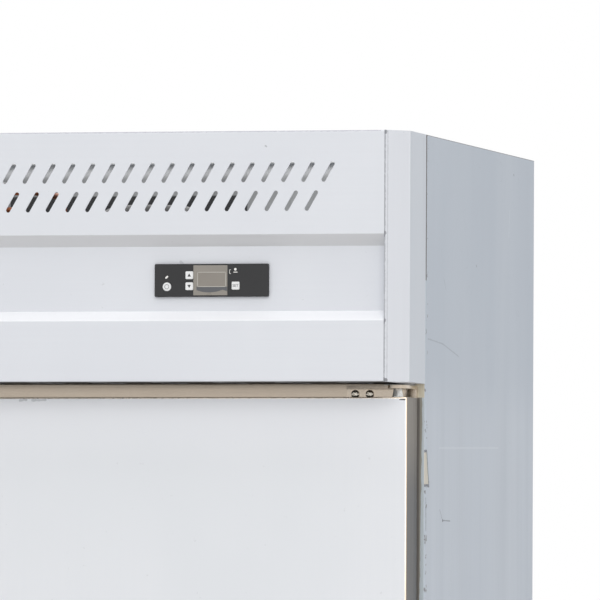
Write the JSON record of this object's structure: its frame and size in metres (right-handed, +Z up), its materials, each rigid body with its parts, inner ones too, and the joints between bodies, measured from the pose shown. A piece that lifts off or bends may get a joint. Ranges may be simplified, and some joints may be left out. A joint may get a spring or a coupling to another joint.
{
  "type": "commercial upright freezer",
  "caption": "Upright commercial freezer with hinged insulated doors under a slotted header that holds the controller and condensing unit, wire shelves and adjustable legs.",
  "frame": {"origin": "on the floor, in the middle of the overall width and depth", "axes": "+X to the right of someone facing the doors, +Y to the back, +Z up"},
  "size_m": [1.22, 0.75, 1.95],
  "materials": {
    "film_on_steel": "satin milky protective film over stainless sheet",
    "galvanised_steel": "dull grey zinc-coated sheet",
    "insulating_foam": "matte rigid foam",
    "white_liner": "satin moulded plastic",
    "stainless_steel": "brushed, warm reflections",
    "dark_grey_plastic": "fine satin texture",
    "display_window": "smoked glossy window",
    "white_nylon": "satin nylon",
    "bright_screws": "bright pan heads",
    "copper": "bare copper tube",
    "aluminium_fins": "pressed fins",
    "fan_aluminium": "stamped sheet",
    "black_paint": "semi-gloss black enamel",
    "grey_plastic": "moulded box",
    "black_plastic": "satin nylon",
    "coated_wire": "plastic-coated wire",
    "white_buttons": "satin moulded keys",
    "door_core": "white moulded inner skin over a foam core",
    "grey_rubber": "soft magnetic gasket",
    "cast_handle": "satin chromed casting"
  },
  "bodies": {
    "cabinet": {"side_panel_right": "film_on_steel", "side_panel_left": "film_on_steel", "back_panel": "galvanised_steel", "base_tray": "galvanised_steel", "deck_plate": "galvanised_steel", "foam_insulation": "insulating_foam", "inner_liner": "white_liner", "front_frame": "stainless_steel", "centre_mullion": "stainless_steel", "cross_rails": "stainless_steel", "header_fascia": "film_on_steel", "corner_post_right": "film_on_steel", "corner_post_left": "film_on_steel", "top_cover": "galvanised_steel", "controller_housing": "dark_grey_plastic", "display_window": "display_window", "hinge_plates": "stainless_steel", "hinge_bushings": "white_nylon", "hinge_screws": "bright_screws", "leg_sleeves": "stainless_steel", "shelf_standards": "stainless_steel", "evaporator_coil": "copper", "unit_base": "galvanised_steel", "condenser_fins": "aluminium_fins", "condenser_coil": "copper", "fan_shroud": "galvanised_steel", "fan_motor": "black_paint", "compressor": "black_paint", "refrigerant_lines": "copper", "filter_drier": "copper", "electrical_box": "grey_plastic", "cable_gland": "black_plastic", "shelves_lower": "coated_wire", "shelves_middle": "coated_wire", "shelves_upper": "coated_wire"},
    "fan": {"condenser_fan": "fan_aluminium"},
    "power_button": {"power_button": "white_buttons"},
    "up_button": {"up_button": "white_buttons"},
    "down_button": {"down_button": "white_buttons"},
    "set_button": {"set_button": "white_buttons"},
    "foot_front_left": {"foot_front_left": "stainless_steel"},
    "foot_front_right": {"foot_front_right": "stainless_steel"},
    "foot_back_left": {"foot_back_left": "stainless_steel"},
    "foot_back_right": {"foot_back_right": "stainless_steel"},
    "door_upper_right": {"door_upper_right_panel": "film_on_steel", "door_upper_right_liner": "door_core", "door_upper_right_gasket": "grey_rubber", "door_upper_right_handle": "cast_handle"},
    "door_lower_right": {"door_lower_right_panel": "film_on_steel", "door_lower_right_liner": "door_core", "door_lower_right_gasket": "grey_rubber", "door_lower_right_handle": "cast_handle"},
    "door_upper_left": {"door_upper_left_panel": "film_on_steel", "door_upper_left_liner": "door_core", "door_upper_left_gasket": "grey_rubber", "door_upper_left_handle": "cast_handle"},
    "door_lower_left": {"door_lower_left_panel": "film_on_steel", "door_lower_left_liner": "door_core", "door_lower_left_gasket": "grey_rubber", "door_lower_left_handle": "cast_handle"}
  },
  "joints": [
    {"name": "fan_spin", "type": "hinge", "parent": "cabinet", "child": "fan", "pos_m": [-0.095, -0.096, 1.786], "axis": [0, 1, 0], "continuous": true},
    {"name": "power_button_press", "type": "slide", "parent": "cabinet", "child": "power_button", "axis": [0, 1, 0], "range_m": [0, 0.0008], "stiffness_N_per_m": 250},
    {"name": "up_button_press", "type": "slide", "parent": "cabinet", "child": "up_button", "axis": [0, 1, 0], "range_m": [0, 0.0008], "stiffness_N_per_m": 250},
    {"name": "down_button_press", "type": "slide", "parent": "cabinet", "child": "down_button", "axis": [0, 1, 0], "range_m": [0, 0.0008], "stiffness_N_per_m": 250},
    {"name": "set_button_press", "type": "slide", "parent": "cabinet", "child": "set_button", "axis": [0, 1, 0], "range_m": [0, 0.0008], "stiffness_N_per_m": 250},
    {"name": "foot_front_left_height", "type": "slide", "parent": "cabinet", "child": "foot_front_left", "axis": [0, 0, -1], "range_m": [0, 0.03]},
    {"name": "foot_front_right_height", "type": "slide", "parent": "cabinet", "child": "foot_front_right", "axis": [0, 0, -1], "range_m": [0, 0.03]},
    {"name": "foot_back_left_height", "type": "slide", "parent": "cabinet", "child": "foot_back_left", "axis": [0, 0, -1], "range_m": [0, 0.03]},
    {"name": "foot_back_right_height", "type": "slide", "parent": "cabinet", "child": "foot_back_right", "axis": [0, 0, -1], "range_m": [0, 0.03]},
    {"name": "door_upper_right_hinge", "type": "hinge", "parent": "cabinet", "child": "door_upper_right", "pos_m": [0.5845, -0.298, 1.2649], "axis": [0, 0, 1], "range_deg": [0, 120], "stiffness_Nm_per_rad": 0.4, "springref_deg": -22.92},
    {"name": "door_lower_right_hinge", "type": "hinge", "parent": "cabinet", "child": "door_lower_right", "pos_m": [0.5845, -0.298, 0.5176], "axis": [0, 0, 1], "range_deg": [0, 120], "stiffness_Nm_per_rad": 0.4, "springref_deg": -22.92},
    {"name": "door_upper_left_hinge", "type": "hinge", "parent": "cabinet", "child": "door_upper_left", "pos_m": [-0.5845, -0.298, 1.2649], "axis": [0, 0, -1], "range_deg": [0, 120], "stiffness_Nm_per_rad": 0.4, "springref_deg": -22.92},
    {"name": "door_lower_left_hinge", "type": "hinge", "parent": "cabinet", "child": "door_lower_left", "pos_m": [-0.5845, -0.298, 0.5176], "axis": [0, 0, -1], "range_deg": [0, 120], "stiffness_Nm_per_rad": 0.4, "springref_deg": -22.92}
  ]
}
